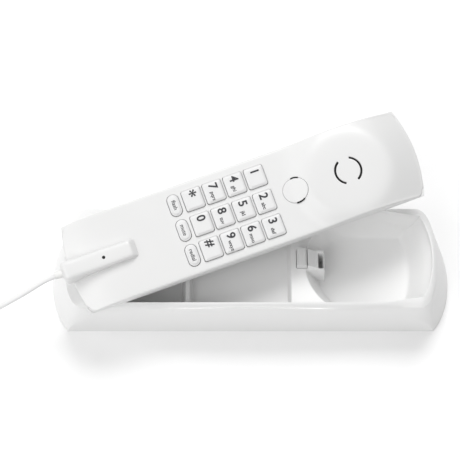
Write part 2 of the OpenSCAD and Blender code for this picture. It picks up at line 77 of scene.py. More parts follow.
# ================= Cord =================
# One plain PVC line cord, 3.2 mm thick. It leaves the handset's nose, falls to the floor, is wound
# into a coil of spare length tied with a wire tie, and ends in a small plug beyond the view.
cord_d = 3.2
lead_points = [
    (-110.686, -19.51, 52.587),
    (-116.3, -22, 51.9), (-122, -25.4, 50.9), (-128, -28.8, 49.5), (-134, -31.6, 47.5),
    (-140, -33.9, 44.7), (-146, -36, 41), (-152, -38.2, 36), (-157, -40.2, 29.8),
    (-161.5, -42.4, 22.8), (-165.5, -44.5, 15.8), (-169.5, -46.1, 9.6), (-174, -47.3, 4.8),
    (-179, -47.9, 2.2), (-184, -48.1, 1.7),
]
tail_points = [
    (-187, -48.4, 9.4), (-193, -47.2, 7.4), (-199, -44, 4.4), (-204, -39, 2.2),
    (-207, -33.4, 1.7), (-208, -27, 2.2), (-208, -21, 3.3),
]
coil_centre = (-186, -74)


def smoothstep(t):
    """3t^2 - 2t^3 between 0 and 1."""
    t = np.clip(t, 0, 1)
    return t * t * (3 - 2 * t)


def coil_points(turns=15, per_layer=4, radius_in=12.75, pitch=3.25, rise=3.22, steps=24):
    """Turns wound flat in layers: each turn keeps its radius, then moves one pitch over 0.55 to 0.85
    of the turn, inwards in even layers and outwards in odd ones, and after a layer's last turn it
    climbs by one rise over the turn's last 0.15 instead. The first turn starts wide, at the coil's
    far side, and the last one widens and sinks as the cord leaves it."""
    start_wide, leaving_r, late = 3.4, 25.2, 0.07
    s = np.arange(0, turns * steps + 1) / steps
    n = np.minimum(np.floor(s), turns - 1)
    f = s - n
    layer = n // per_layer
    k = n % per_layer
    last = k == per_layer - 1
    move = np.where(last | (n == turns - 1), 0, smoothstep((f - 0.55) / 0.3))
    place = k + move
    index = np.where(layer % 2 == 0, per_layer - 1 - place, place)
    z = cord_d / 2 + 0.1 + rise * (layer + np.where(last, smoothstep((f - 0.85) / 0.15), 0))
    radius = radius_in + pitch * index
    radius = radius + start_wide * (1 - smoothstep(s / 0.4))
    leaving = smoothstep((s - (turns - 0.3)) / 0.3)
    radius = radius + leaving * (leaving_r - radius)
    z = z - leaving * 1.6
    angle = math.pi / 2 + late + 2 * math.pi * s * (1 - late / (2 * math.pi * turns))
    return np.stack([coil_centre[0] + radius * np.cos(angle),
                     coil_centre[1] + radius * np.sin(angle), z], axis=1)


def smooth_path(points, step):
    """Catmull-Rom curve through the points, sampled every step of length."""
    p = np.array(points, float)
    p = np.vstack([2 * p[0] - p[1], p, 2 * p[-1] - p[-2]])
    t = np.linspace(0, 1, 12, endpoint=False)[:, None]
    a, b, c, d = p[:-3, None], p[1:-2, None], p[2:-1, None], p[3:, None]
    curve = 0.5 * (2 * b + (c - a) * t + (2 * a - 5 * b + 4 * c - d) * t ** 2
                   + (3 * b - 3 * c + d - a) * t ** 3)
    curve = np.vstack([curve.reshape(-1, 3), p[-2]])
    run = np.concatenate([[0], np.cumsum(np.linalg.norm(np.diff(curve, axis=0), axis=1))])
    at = np.linspace(0, run[-1], max(2, int(round(run[-1] / step)) + 1))
    return np.stack([np.interp(at, run, curve[:, i]) for i in range(3)], axis=1)


def add_mesh(name, vertices, faces, sharp=40):
    """Puts a mesh given in millimetres into the scene, smooth except at edges sharper than sharp degrees."""
    mesh = bpy.data.meshes.new(name)
    mesh.from_pydata((np.asarray(vertices) * MM).tolist(), [], [list(map(int, f)) for f in faces])
    mesh.update()
    mesh.shade_smooth()
    mesh.set_sharp_from_angle(angle=math.radians(sharp))
    piece = bpy.data.objects.new(name, mesh)
    scene.collection.objects.link(piece)
    return piece


def grid_faces(rows, columns, closed=False, start=0):
    """Quads of a rows by columns grid of vertices, stored row by row; closed joins each row's ends."""
    i = np.arange(rows - 1)[:, None]
    j = np.arange(columns if closed else columns - 1)[None, :]
    k = (j + 1) % columns
    here, ahead = i * columns, (i + 1) * columns
    quads = np.stack([here + j, here + k, ahead + k, ahead + j], axis=-1)
    return (quads.reshape(-1, 4) + start).tolist()


def tube(path, radius, sides=20):
    """A circle of the radius carried along the path, square to it, with flat ends."""
    along = np.gradient(path, axis=0)
    along /= np.linalg.norm(along, axis=1)[:, None]
    side = np.cross(along, [0, 0, 1.0])
    side /= np.linalg.norm(side, axis=1)[:, None]
    up = np.cross(side, along)
    a = np.linspace(0, 2 * np.pi, sides, endpoint=False)
    ring = np.cos(a)[None, :, None] * side[:, None] + np.sin(a)[None, :, None] * up[:, None]
    vertices = (path[:, None] + radius * ring).reshape(-1, 3)
    faces = grid_faces(len(path), sides, closed=True)
    last = (len(path) - 1) * sides
    return vertices, faces + [list(range(sides))[::-1], list(range(last, last + sides))]


def plastic(name, colour, roughness, grain=900, bump=0.04, mottle=0.06):
    """Moulded plastic: a fine spark-eroded grain in the bump, and a broad, faint change of gloss and
    of tone."""
    material = bpy.data.materials.new(name)
    material.use_nodes = True
    nodes = material.node_tree.nodes
    links = material.node_tree.links
    shader = nodes["Principled BSDF"]
    shader.inputs["IOR"].default_value = 1.49
    place = nodes.new("ShaderNodeTexCoord")
    fine = nodes.new("ShaderNodeTexNoise")
    fine.inputs["Scale"].default_value = grain
    fine.inputs["Detail"].default_value = 3
    broad = nodes.new("ShaderNodeTexNoise")
    broad.inputs["Scale"].default_value = 35
    broad.inputs["Detail"].default_value = 2
    gloss = nodes.new("ShaderNodeMapRange")
    gloss.inputs["To Min"].default_value = roughness - mottle
    gloss.inputs["To Max"].default_value = roughness + mottle
    tone = nodes.new("ShaderNodeMix")
    tone.data_type = "RGBA"
    tone.inputs[6].default_value = (*[c * 0.975 for c in colour], 1)
    tone.inputs[7].default_value = (*colour, 1)
    relief = nodes.new("ShaderNodeBump")
    relief.inputs["Strength"].default_value = bump
    relief.inputs["Distance"].default_value = 0.0003
    for noise in (fine, broad):
        links.new(place.outputs["Object"], noise.inputs["Vector"])
    links.new(broad.outputs["Fac"], gloss.inputs["Value"])
    links.new(broad.outputs["Fac"], tone.inputs[0])
    links.new(gloss.outputs["Result"], shader.inputs["Roughness"])
    links.new(tone.outputs[2], shader.inputs["Base Color"])
    links.new(fine.outputs["Fac"], relief.inputs["Height"])
    links.new(relief.outputs["Normal"], shader.inputs["Normal"])
    return material


def dress(piece, material, body):
    """Gives a finished piece its material and, when a body is named, the body it rides on."""
    piece.data.materials.clear()
    piece.data.materials.append(material)
    if body:
        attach(piece, body)


cord_path = np.vstack([
    smooth_path(np.vstack([lead_points, coil_points()[:1]]), 3)[:-1],
    coil_points(),
    smooth_path(np.vstack([coil_points()[-1:], tail_points]), 3)[1:],
])
cord = add_mesh("line_cord", *tube(cord_path, cord_d / 2))
cord_material = plastic("cord_white", (0.80, 0.80, 0.80), 0.42, grain=600, bump=0.05)
cord.data.materials.append(cord_material)
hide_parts("cord_lead", "cord_coil", "cord_tail")
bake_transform(cord)

# ================= Base shell =================
# The cradle: one moulding in white ABS with a fine satin grain. Its long walls have a flat facet
# under an elliptical crease, the ends are bowed slopes, and the tray inside holds the handset.
base_h, deck_z = 37.0, 27.0
well_x, well_floor = (-98, -38), 14.0
recess_x, recess_floor = (-35, 23), 20.0
dish_x, dish_floor, dish_r, dish_top_r = 64.55, 12.0, 25.5, 33.0
tab_x, tab_y, socket_floor = 29.6, 2.0, 15.2
pocket_half_w, side_at, foot_half_w = 27.2, 26.6, 32
crease_low, crease_rise = 0.4, 35.6
under_ceiling = 9.5
side_points, end_points = 190, 110
base_white = plastic("base_white", (0.83, 0.83, 0.827), 0.36, grain=1100, bump=0.05)


def bow(y, half_w, sag):
    """How far a bowed end falls back from its middle at y: an arc of that sag over the half width."""
    r = (half_w ** 2 + sag ** 2) / (2 * sag)
    return r - np.sqrt(r * r - y * y)


def oblong(half_l, half_w, straight, p, q):
    """Closed outline, anticlockwise: straight long sides up to x = straight, and ends on a curve
    x = straight + (half_l - straight) cos(t)^(2/p), y = half_w sin(t)^(2/q)."""
    t = np.linspace(-np.pi / 2, np.pi / 2, end_points)
    c, sn = np.cos(t).clip(0, 1), np.sin(t)
    right = np.stack([straight + (half_l - straight) * c ** (2 / p),
                      half_w * np.sign(sn) * np.abs(sn) ** (2 / q)], 1)
    side = np.linspace(-straight, straight, side_points + 2)[1:-1]
    front = np.stack([side, np.full_like(side, -half_w)], 1)
    return np.vstack([front, right, -front, -right])


def bowed(half_l, half_w, sag):
    """Closed outline with as many points as an oblong: straight long sides that meet, at corners,
    ends that bow out by the sag."""
    y = half_w * np.sin(np.linspace(-np.pi / 2, np.pi / 2, end_points))
    right = np.stack([half_l - bow(y, half_w, sag), y], 1)
    side = np.linspace(sag - half_l, half_l - sag, side_points + 2)[1:-1]
    front = np.stack([side, np.full_like(side, -half_w)], 1)
    return np.vstack([front, right, -front, -right])


def tapered(outline, share):
    """Narrows an outline by that share at its ends, eased in from 74 mm to 99 mm off the middle."""
    narrow = 1 - share * smoothstep((np.abs(outline[:, 0]) - 74) / 25)
    return np.column_stack([outline[:, 0], outline[:, 1] * narrow])


def short_on_left(outline, by):
    """Draws an outline's left half in, by that much at x = -100 and as the fourth power of x."""
    x = outline[:, 0]
    return np.column_stack([x + np.where(x < 0, by * (x / 100) ** 4, 0), outline[:, 1]])


def level(outline, z):
    """An outline's points at one height, or at a height for each."""
    return np.column_stack([outline, np.broadcast_to(z, len(outline))])


def rings_between(a, za, b, zb, count, swell=0.0):
    """Rings from outline a to outline b, straight apart from an outward swell at their middle."""
    out = []
    for f in np.linspace(0, 1, count + 1)[1:]:
        out.append(level((a + (b - a) * f) * (1 + swell * f * (1 - f)), za + (zb - za) * f))
    return out


def rounded_rect(x, y, cx, cy, hx, hy, r):
    """Signed distance to a rectangle with rounded corners, negative inside."""
    qx = np.abs(x - cx) - hx + r
    qy = np.abs(y - cy) - hy + r
    return np.hypot(np.maximum(qx, 0), np.maximum(qy, 0)) + np.minimum(np.maximum(qx, qy), 0) - r


def sink(z, floor, distance, draft, fillet):
    """Lowers z to the floor inside a shape: a wall of that draft width, eased by the fillet at its edges."""
    fall = smoothstep((fillet * 0.5 - distance) / (draft + fillet))
    return z - np.maximum(z - floor, 0) * fall


def soft_plus(t, soft):
    """A smooth max(t, 0): the root of t^2 + soft^2, plus t, halved."""
    return 0.5 * (t + np.sqrt(t * t + soft * soft))


def soft_max(a, b, soft):
    """The larger of a and b, eased over the soft distance where they meet."""
    return b + soft_plus(a - b, soft)


def tray_height(x, y):
    """Height of the tray: the deck, less the cord well, the keypad recess and the earpiece dish, with
    the hook tab's block on the dish's left edge."""
    well = rounded_rect(x, y, sum(well_x) / 2, 0, np.ptp(well_x) / 2, pocket_half_w, 5)
    recess = rounded_rect(x, y, sum(recess_x) / 2, 0, np.ptp(recess_x) / 2, pocket_half_w, 4)
    z = sink(np.full_like(x, deck_z), well_floor, well, 1.6, 1.0)
    z = sink(z, recess_floor, recess, 1.2, 0.9)
    # the dish has a cone on its left, and a sloping end and steep sides on its right
    rho = np.hypot(x - dish_x, y)
    flank = deck_z + (rho - dish_top_r) * (deck_z - dish_floor) / (dish_top_r - dish_r)
    pan_end = deck_z - 2.3 * (ends_at(y) - x)
    pan_side = deck_z - 4.5 * (side_at - np.abs(y))
    pan = soft_max(pan_end, soft_max(pan_side, dish_floor, 2.0), 2.0)
    dish = np.where(x < dish_x, soft_max(flank, pan, 1.5), pan)
    z = np.where(x > tab_x - 8, np.minimum(z, dish), z)
    # the tab's block, the ramp beside the tab, the slot at the ramp's foot and the tab's socket
    block = rounded_rect(x, y, tab_x + 4.5, tab_y, 9.6, 7.2, 1.0)
    z = np.maximum(z, np.where(block < 0, deck_z - 22 * smoothstep((block + 0.9) / 0.9), 0))
    ramp = (np.abs(y - tab_y) < 5.4) & (x > tab_x + 3.3) & (x < tab_x + 9.4)
    z = np.where(ramp, np.maximum(z, deck_z + 3.6 - 0.62 * (x - tab_x - 3.3)), z)
    slot = rounded_rect(x, y, tab_x + 11.2, tab_y - 0.5, 1.3, 4.6, 0.3)
    z = sink(z, dish_floor + 3, slot, 0.5, 0.2)
    socket = rounded_rect(x, y, tab_x, tab_y, 3.0, 5.5, 0.3)
    return sink(z, socket_floor, socket, 0.3, 0.1)


def ends_at(y):
    """Where the tray's floor meets the wall of its end at y: the end curve of the floor's outline."""
    return np.interp(y, floor_end[:, 1], floor_end[:, 0])


# the outlines, from the foot up to the rim and down to the tray's floor; the opening stops short of
# the left end, under the handset's mouthpiece
foot = oblong(117.4, 44.3, 72, 2.8, 2.1)
on_side = np.abs(foot[:, 1]) > foot_half_w
foot[:, 1] = foot[:, 1].clip(-foot_half_w, foot_half_w)
rim_out = oblong(107.3, 31.2, 95, 2.6, 2.0)
rim_in = short_on_left(tapered(bowed(104.9, 28.9, 6.5), 0.11), 8.5)
deck_loop = short_on_left(tapered(bowed(100.6, side_at, 5.5), 0.09), 7.0)
floor_end = deck_loop[side_points:side_points + end_points]
left_end = deck_loop[-end_points:][::-1]
corner_x = np.abs(foot[on_side, 0]).max()
arch = np.sqrt(1 - (foot[:, 0] / corner_x).clip(-1, 1) ** 2)
crease_z = np.where(on_side, crease_low + crease_rise * arch, crease_low)
crease = foot + (rim_out - foot) * (crease_z / base_h)[:, None] * np.array([1.0, 0.0])
# the outer wall under and over the crease, the round rim, and the inner wall
across = deck_loop - rim_in
under_rim = rim_in + across * 0.14
rings = [level(foot * 0.997, 0.0)]
rings += rings_between(foot, 0.3, crease, crease_z, 8)
rings += rings_between(crease, crease_z, rim_out, base_h - 2.4, 14, swell=0.012)
for f, down in ((0.25, 1.5), (0.5, 0.8), (0.75, 0.3), (0.95, 0.05)):
    rings.append(level(rim_out + (rim_in - rim_out) * f, base_h - down))
for f, down in ((0.0, 0.0), (0.06, 0.15), (0.1, 0.5)):
    rings.append(level(rim_in + across * f, base_h - down))
rings += rings_between(rim_in + across * 0.1, base_h - 0.5, under_rim, base_h - 3.2, 3)
rings += rings_between(under_rim, base_h - 3.2, deck_loop, deck_z, 8)
ring_size = len(foot)
wall_vertices = np.vstack(rings)
wall_faces = grid_faces(len(rings), ring_size, closed=True)
# the tray's floor: triangles inside the last ring, on a grid of about half a millimetre
gx, gy = np.meshgrid(np.arange(-100.1, 100.2, 0.55), np.arange(-26.2, 26.3, 0.55), indexing="ij")
inside = (gx < ends_at(gy) - 0.4) & (gx > np.interp(gy, left_end[:, 1], left_end[:, 0]) + 0.4)
floor_points = np.vstack([deck_loop, np.stack([gx[inside], gy[inside]], 1)])
ring_edges = [(i, (i + 1) % ring_size) for i in range(ring_size)]
found = delaunay_2d_cdt([Vector(p) for p in floor_points.tolist()], ring_edges, [], 1, 1e-5)
flat_points = np.array([tuple(p) for p in found[0]])
at_ring = np.array([bool(o) and min(o) < ring_size for o in found[3]])
floor_z = np.where(at_ring, deck_z, tray_height(flat_points[:, 0], flat_points[:, 1]))
floor_vertices = np.column_stack([flat_points, floor_z])
floor_faces = [[i + len(wall_vertices) for i in f] for f in found[2]]
# underside: the wall's inner face up to a ceiling under the tray
inner = foot * np.array([0.98, 0.925])
under_vertices = np.vstack([rings[0], level(inner, 0.0), level(inner, under_ceiling)])
under_start = len(wall_vertices) + len(floor_vertices)
under_faces = [f[::-1] for f in grid_faces(3, ring_size, closed=True, start=under_start)]
ceiling = list(range(under_start + 2 * ring_size, under_start + 3 * ring_size))[::-1]
base = add_mesh("base_moulding", np.vstack([wall_vertices, floor_vertices, under_vertices]),
                wall_faces + floor_faces + under_faces + [ceiling], sharp=38)
dress(base, base_white, "base")
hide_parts("base_shell")
dress(frame["nodes"]["hook_tab"], base_white, None)

# ================= Handset: place =================
# The handset lies face up across the cradle, turned, pitched and rolled as it came to rest on
# the front rim near its mouthpiece and on the back rim near its middle.
yaw, pitch, roll = np.radians([19.5, 4.2, 14])
hs_len, hs_half_w, split_z = 201.5, 26.3, -7.5
face_at = np.array([-4.4, 18, 61.35])
turn_z = np.array([[np.cos(yaw), -np.sin(yaw), 0], [np.sin(yaw), np.cos(yaw), 0], [0, 0, 1]])
turn_y = np.array([[np.cos(pitch), 0, -np.sin(pitch)], [0, 1, 0], [np.sin(pitch), 0, np.cos(pitch)]])
turn_x = np.array([[1, 0, 0], [0, np.cos(roll), -np.sin(roll)], [0, np.sin(roll), np.cos(roll)]])
handset_turn = turn_z @ turn_y @ turn_x


def on_handset(points):
    """Handset coordinates (x from the mouth corners, y across, z out of the face) to the row frame."""
    return (np.asarray(points) - [hs_len / 2, 0, 0]) @ handset_turn.T + face_at


# ================= Handset: front shell =================
# The face moulding in white ABS: flat, bending away at the mouth end, cut off by a facet at the
# ear end, with the earpiece drum standing on it. Keys, hook button and sound slots pass through it.
handset_white = plastic("handset_white", (0.74, 0.74, 0.737), 0.34, grain=1100, bump=0.05)
ear_x, ear_r, ear_h, drum_slope = 163.8, 24.7, 6.0, 0.6186
mouth_bulge, ear_bulge = 3.4, 4.0
mouth_bend_x, mouth_bend_soft, end_slope = 9, 5.5, 0.46
ear_facet_x, ear_facet_sag = 189.6, 4.9
shell_wall, edge_round = 1.6, 1.3
sound_slot_r, sound_slot_half = 7.45, 0.65
row_pitch, col_pitch, key_x0, key_l, key_w = 12.55, 15.15, 75.9, 11.0, 12.0
oval_x, oval_l, oval_w = 64.8, 6.6, 12.5
hook_x, hook_r = 132.1, 7.1


def face_height(x, y):
    """Height of the face: flat, falling at the mouth, cut by the ear-end facet, with the drum on top."""
    z = -end_slope * mouth_bend_soft * np.log1p(np.exp((mouth_bend_x - x) / mouth_bend_soft))
    z = z - end_slope * soft_plus(x - ear_facet_x + ear_facet_sag * (y / hs_half_w) ** 2, 0.8)
    rho = np.hypot(x - ear_x, y)
    drum = ear_h - drum_slope * soft_plus(rho - ear_r, 3.5)
    return soft_max(drum, z, 2.2) - 0.1


def end_x(y, inset=0.0):
    """Where the mouth end and the ear end lie at y: two shallow arcs."""
    mouth = -mouth_bulge + bow(y, hs_half_w, mouth_bulge) + inset
    ear = hs_len + ear_bulge - bow(y, hs_half_w, ear_bulge) - inset
    return mouth, ear


def handset_loop(inset, corner=4.2, n_side=210, n_end=60):
    """The handset's outline, anticlockwise, drawn in by the inset, with eased corners."""
    half = hs_half_w - inset
    t = np.linspace(0, 1, n_side, endpoint=False)
    y = np.linspace(-half, half, n_end, endpoint=False)
    x0, x1 = end_x(np.array([half]), inset)
    front = np.stack([x0[0] + (x1[0] - x0[0]) * t, np.full_like(t, -half)], 1)
    ear = np.stack([end_x(y, inset)[1], y], 1)
    back = np.stack([x1[0] - (x1[0] - x0[0]) * t, np.full_like(t, half)], 1)
    mouth = np.stack([end_x(-y, inset)[0], -y], 1)
    p = np.vstack([front, ear, back, mouth])
    r = max(corner - inset, 0.5)
    for cx, cy in ((x0[0], half), (x0[0], -half), (x1[0], half), (x1[0], -half)):
        sx = 1 if cx > 100 else -1
        inner = np.array([cx - sx * r, cy - math.copysign(r, cy)])
        d = p - inner
        far = np.linalg.norm(d, axis=1)
        pull = (d[:, 0] * sx > 0) & (d[:, 1] * math.copysign(1, cy) > 0) & (far > r)
        p[pull] = inner + d[pull] / far[pull, None] * r
    return p


def rect_loop(cx, cy, hx, hy, r, n=6):
    """A rectangle with round corners, anticlockwise."""
    a = np.radians(np.linspace(0, 90, n))
    corners = [(1, 1, 0), (-1, 1, 90), (-1, -1, 180), (1, -1, 270)]
    return np.vstack([np.stack([cx + sx * (hx - r) + r * np.cos(a + math.radians(b)),
                                cy + sy * (hy - r) + r * np.sin(a + math.radians(b))], 1)
                      for sx, sy, b in corners])


def arc_slot(cx, cy, r, half, a0, a1, n=40):
    """A slot of that half width along an arc, from angle a0 to a1 in degrees, with square ends."""
    a = np.radians(np.linspace(a0, a1, n))
    out = np.stack([np.cos(a), np.sin(a)], 1)
    return np.array([cx, cy]) + np.vstack([(r + half) * out, (r - half) * out[::-1]])


key_columns = [["star", "7", "4", "1"], ["0", "8", "5", "2"], ["hash", "9", "6", "3"]]
key_places = {name: (key_x0 + r * row_pitch, (1 - c) * col_pitch)
              for c, column in enumerate(key_columns) for r, name in enumerate(column)}
oval_places = {"flash": (oval_x, col_pitch), "mute": (oval_x, 0.0), "redial": (oval_x, -col_pitch)}
holes = [rect_loop(x, y, key_l / 2 + 0.3, key_w / 2 + 0.3, 1.3) for x, y in key_places.values()]
holes += [rect_loop(x, y, oval_l / 2 + 0.3, oval_w / 2 + 0.3, 3.4, n=12) for x, y in oval_places.values()]
circle = np.radians(np.linspace(0, 360, 72, endpoint=False))
button_gap = 0.16
holes.append(np.array([hook_x, 0]) + (hook_r + button_gap) * np.stack([np.cos(circle), np.sin(circle)], 1))
holes.append(arc_slot(ear_x, 0, sound_slot_r, sound_slot_half, -62, 68))
holes.append(arc_slot(ear_x, 0, sound_slot_r, sound_slot_half, 120, 242))


def cut_face(outline, hole_loops, step, clear):
    """Triangles of the plan inside the outline and outside the holes, on a grid that keeps clear of
    every loop's points. The third result says which point each of the outline's points became."""
    hole_reach, end_gap = 14, 1.4
    x, y = np.meshgrid(np.arange(-3, 206, step), np.arange(-26, 26.1, step), indexing="ij")
    points = np.stack([x.ravel(), y.ravel()], 1)
    mouth, ear = end_x(points[:, 1])
    within = (points[:, 0] > mouth + end_gap) & (points[:, 0] < ear - end_gap)
    points = points[within & (np.abs(points[:, 1]) < hs_half_w - 1.3)]
    loops = [outline] + hole_loops
    for ring in hole_loops:
        near = np.linalg.norm(points - ring.mean(0), axis=1) < hole_reach
        gap = np.linalg.norm(points[near][:, None] - ring[None], axis=2).min(1)
        keep = np.ones(len(points), bool)
        keep[np.flatnonzero(near)[gap < clear]] = False
        points = points[keep]
    edges, start = [], 0
    for ring in loops:
        n = len(ring)
        edges += [(start + i, start + (i + 1) % n) for i in range(n)]
        start += n
    everything = np.vstack(loops + [points])
    done = delaunay_2d_cdt([Vector(p) for p in everything.tolist()], edges, [], 1, 1e-5)
    plan = np.array([tuple(p) for p in done[0]])
    triangles = np.array([list(f) for f in done[2]])
    middle = plan[triangles].mean(1)
    hollow = np.zeros(len(triangles), bool)
    for ring in hole_loops:
        near = np.flatnonzero(np.linalg.norm(middle - ring.mean(0), axis=1) < hole_reach)
        a, b = ring, np.roll(ring, -1, axis=0)
        px, py = middle[near, 0][:, None], middle[near, 1][:, None]
        crosses = (a[:, 1] > py) != (b[:, 1] > py)
        with np.errstate(divide="ignore", invalid="ignore"):
            at = a[:, 0] + (py - a[:, 1]) / (b[:, 1] - a[:, 1]) * (b[:, 0] - a[:, 0])
        hollow[near] |= (np.sum(crosses & (px < at), axis=1) % 2).astype(bool)
    order = np.full(len(outline), -1)
    for new, old in enumerate(done[3]):
        for k in old:
            if k < len(outline):
                order[k] = new
    return plan, triangles[~hollow], order


top_loop = handset_loop(edge_round)
plan, triangles, order = cut_face(top_loop, holes, 0.9, 0.45)
face_vertices = np.column_stack([plan, face_height(plan[:, 0], plan[:, 1])])
# the round edge, the side down to the seam, and the seam's lip
edge_z = face_height(top_loop[:, 0], top_loop[:, 1])
drop = np.minimum(edge_round, 0.45 * (edge_z - split_z))
rings = []
for turn in np.radians([18, 36, 54, 72, 90]):
    rings.append(level(handset_loop(edge_round * (1 - np.sin(turn))), edge_z - drop * (1 - np.cos(turn))))
side_top = rings[-1][:, 2]
for f in (0.35, 0.7, 1.0):
    rings.append(level(handset_loop(0), side_top + (split_z + 0.3 - side_top) * f))
rings.append(level(handset_loop(0.25), split_z + 0.06))
rings.append(level(handset_loop(1.2), split_z + 0.06))
n = len(top_loop)
skirt = np.vstack(rings)
skirt_faces = [f[::-1] for f in grid_faces(len(rings), n, closed=True, start=len(face_vertices))]
first = len(face_vertices)
join = [[order[i], first + i, first + (i + 1) % n, order[(i + 1) % n]] for i in range(n)]
front = add_mesh("front_moulding", on_handset(np.vstack([face_vertices, skirt])),
                 triangles.tolist() + join + skirt_faces, sharp=32)
thick = front.modifiers.new("wall", "SOLIDIFY")
thick.thickness = shell_wall * MM
thick.offset = -1
thick.use_even_offset = False
soft = front.modifiers.new("edges", "BEVEL")
soft.width = 0.22 * MM
soft.segments = 2
soft.limit_method = "ANGLE"
soft.angle_limit = math.radians(55)
dress(front, handset_white, "handset")

# ================= Handset: mouthpiece boss =================
# A rounded nose moulded on the face over the microphone. It wraps over the mouth end, where the
# cord comes out, and ends in a slope towards the keys. Its pin hole is not cut: a near-black disc in the
# boss's top stands for it, painted shade.
boss_half_w, boss_tip, boss_end, boss_h = 5.8, -7.7, 37.0, 4.0
boss_slope_x, boss_square = 33.4, 0.42


def boss_shape(u, v):
    """Section across the boss, an arch with round shoulders, carried along x; it sinks at the keys'
    end along a straight slope and narrows a little towards it, and flares at the nose."""
    x = boss_tip + (boss_end - boss_tip) * u
    top = boss_h - soft_plus(x - boss_slope_x, 0.5) * 1.3 + 0.4 * np.exp(-((x + 4) / 5) ** 2)
    nose = np.clip((x - boss_tip) / 3.0, 0, 1)
    round_off = np.sqrt(np.maximum(1 - (1 - nose) ** 2, 0))
    half = (boss_half_w + 0.5 * np.exp(-((x + 3) / 6) ** 2)) * (0.72 + 0.28 * round_off)
    half = half - 0.5 * smoothstep((x - 8) / 26)
    low = np.where(x < -3, -5.2, face_height(x, 0 * x) - 2.2)
    a = np.pi * v
    c, s = np.cos(a), np.sin(a)
    y = half * np.sign(c) * np.abs(c) ** boss_square
    z = low + (top - low) * np.abs(s) ** boss_square * (0.6 + 0.4 * round_off)
    return np.stack([x, y, z], axis=-1)


u = np.concatenate([np.linspace(0, 1, 14) ** 2 * 0.09, np.linspace(0.09, 1, 70)[1:]])
v = 0.5 - 0.5 * np.cos(np.pi * np.linspace(0, 1, 61))
uu, vv = np.meshgrid(u, v, indexing="ij")
boss_grid = boss_shape(uu, vv)
rows, columns = uu.shape
boss_faces = [f[::-1] for f in grid_faces(rows, columns, closed=True)]
boss_faces += [list(range(columns)), list(range((rows - 1) * columns, rows * columns))[::-1]]
boss = add_mesh("mouthpiece_boss", on_handset(boss_grid.reshape(-1, 3)), boss_faces, sharp=50)
dress(boss, handset_white, "handset")

# The pin hole: a near-black cylinder whose top stands a hair above the boss, painted shade where the hole
# would look dark
mic_x, mic_r, mic_hole_depth = 17.3, 0.95, 1.2
a = np.linspace(0, 2 * np.pi, 32, endpoint=False)
disc = np.stack([mic_x + mic_r * np.cos(a), mic_r * np.sin(a)], 1)
pin_vertices = np.vstack([level(disc, boss_h - mic_hole_depth), level(disc, boss_h + 0.03)])
pin_hole_shade = add_mesh("microphone_hole_painted_shade", on_handset(pin_vertices),
                    grid_faces(2, 32, closed=True) + [list(range(32))[::-1], list(range(32, 64))])
dress(pin_hole_shade, plastic("hole_painted_shade", (0.01, 0.01, 0.01), 0.9), "handset")

# ================= Handset: back shell =================
# The arched underside of the handset in the same ABS, with broad round flanks. Three screws from
# its back hold it to the front shell, and a fine seam shows where the two meet.
arch_r, hs_t, flank_w, end_w, flank_power = 380.0, 26.0, 12, 5, 2.3


def back_shape(u, v):
    """Plan u along and v across; depth is the arch, raised to the seam by a rounded corner that is
    wide along the sides and narrow at the ends."""
    y = hs_half_w * np.sin(0.5 * np.pi * v)
    mouth, ear = end_x(y)
    x = mouth + (ear - mouth) * (0.5 - 0.5 * np.cos(np.pi * u))
    deep = arch_r - hs_t - np.sqrt(arch_r ** 2 - (x - hs_len / 2) ** 2)
    side = np.clip((np.abs(y) - hs_half_w + flank_w) / flank_w, 0, 1)
    end = np.clip(1 - np.minimum(x - mouth, ear - x) / end_w, 0, 1)
    rise = 1 - np.maximum(1 - (side ** flank_power + end ** flank_power), 0) ** (1 / flank_power)
    z = deep + (split_z - deep) * rise
    return np.stack([x, y, np.minimum(z, split_z)], axis=-1)


uu, vv = np.meshgrid(np.linspace(0, 1, 150), np.linspace(-1, 1, 91), indexing="ij")
back_grid = back_shape(uu, vv)
back = add_mesh("back_moulding", on_handset(back_grid.reshape(-1, 3)), grid_faces(*uu.shape), sharp=50)
thick = back.modifiers.new("wall", "SOLIDIFY")
thick.thickness = shell_wall * MM
thick.offset = -1
dress(back, handset_white, "handset")
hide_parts("front_shell")
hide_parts("back_shell")

# ================= Keys =================
# Twelve square caps and three oval ones, moulded in ABS with a finer grain than the housing's,
# standing a little above the face. Their figures and letters are pad printed in dark ink.
key_white = plastic("key_grey", (0.74, 0.74, 0.74), 0.38, grain=1300, bump=0.04)
ink = plastic("legend_ink", (0.035, 0.035, 0.04), 0.5, grain=1500, bump=0.02)


def cap_shape(outline, top, bottom, edge, crown):
    """A closed cap: the outline carried up from the bottom, over a chamfered edge, with rings of the
    outline shrinking to the middle over a crown, or over a hollow where the crown is negative."""
    middle = outline.mean(0)
    d = outline - middle
    size = np.abs(d).max(0)
    rings = [level(outline, bottom)]
    for inward, down in ((0.0, 0.62), (0.06, 0.5), (0.14, 0.44), (0.8, 0.1), (0.9, 0.03), (1.0, 0.0)):
        rings.append(level(middle + d * (1 - edge * inward / size), top - edge * down))
    for f in (0.8, 0.55, 0.3, 0.1):
        shrink = (1 - edge / size) * f
        rings.append(level(middle + d * shrink, top + crown * (1 - f * f)))
    n = len(outline)
    faces = grid_faces(len(rings), n, closed=True)
    faces += [list(range(n))[::-1], list(range((len(rings) - 1) * n, len(rings) * n))]
    return np.vstack(rings), faces


